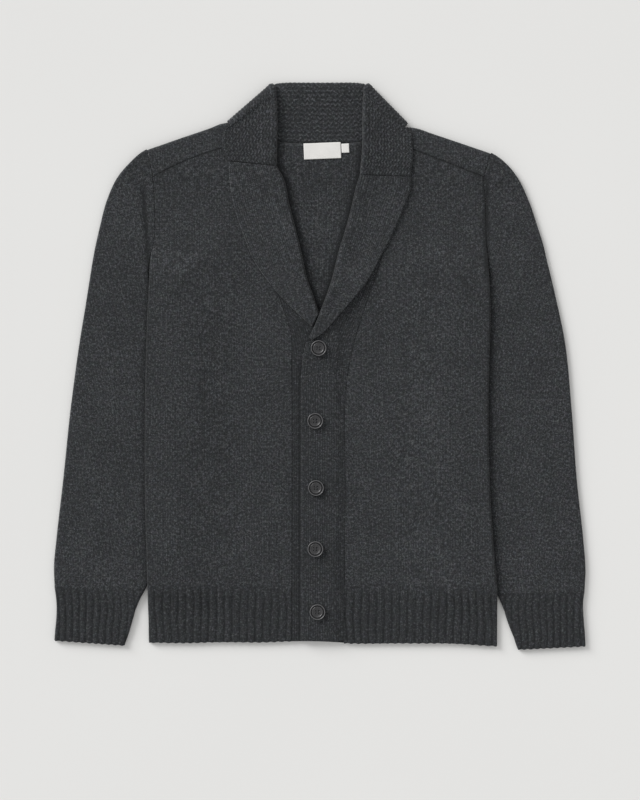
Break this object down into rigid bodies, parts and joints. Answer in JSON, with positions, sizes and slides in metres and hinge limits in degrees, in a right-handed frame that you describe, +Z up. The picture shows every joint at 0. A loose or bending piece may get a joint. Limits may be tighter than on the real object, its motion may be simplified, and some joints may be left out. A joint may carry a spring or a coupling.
{
  "type": "shawl collar cardigan",
  "caption": "Charcoal wool shawl collar cardigan laid flat and face up, buttoned, with ribbed bands, hem and cuffs.",
  "frame": {"origin": "bottom centre of the bounding box, on the surface that the garment lies on", "axes": "+Y from the hem to the collar, +Z up out of the front, +X to the wearer's left"},
  "size_m": [0.7323, 0.7816, 0.0139],
  "materials": {
    "knit": "matte melange wool knit",
    "rib": "matte melange ribbed wool",
    "collar_knit": "matte melange textured wool",
    "button": "satin",
    "label": "plain woven tape"
  },
  "bodies": {
    "root": {"back_panel": "knit", "front_left": "knit", "front_right": "knit", "sleeve_left": "knit", "sleeve_right": "knit", "back_hem_rib": "rib", "hem_rib_left": "rib", "hem_rib_right": "rib", "cuff_left": "rib", "cuff_right": "rib", "band_left": "rib", "band_right": "rib", "lapel_left": "knit", "lapel_right": "knit", "collar": "collar_knit", "button_1": "button", "button_2": "button", "button_3": "button", "button_4": "button", "button_5": "button", "neck_label": "label", "size_tab": "label"}
  },
  "joints": []
}
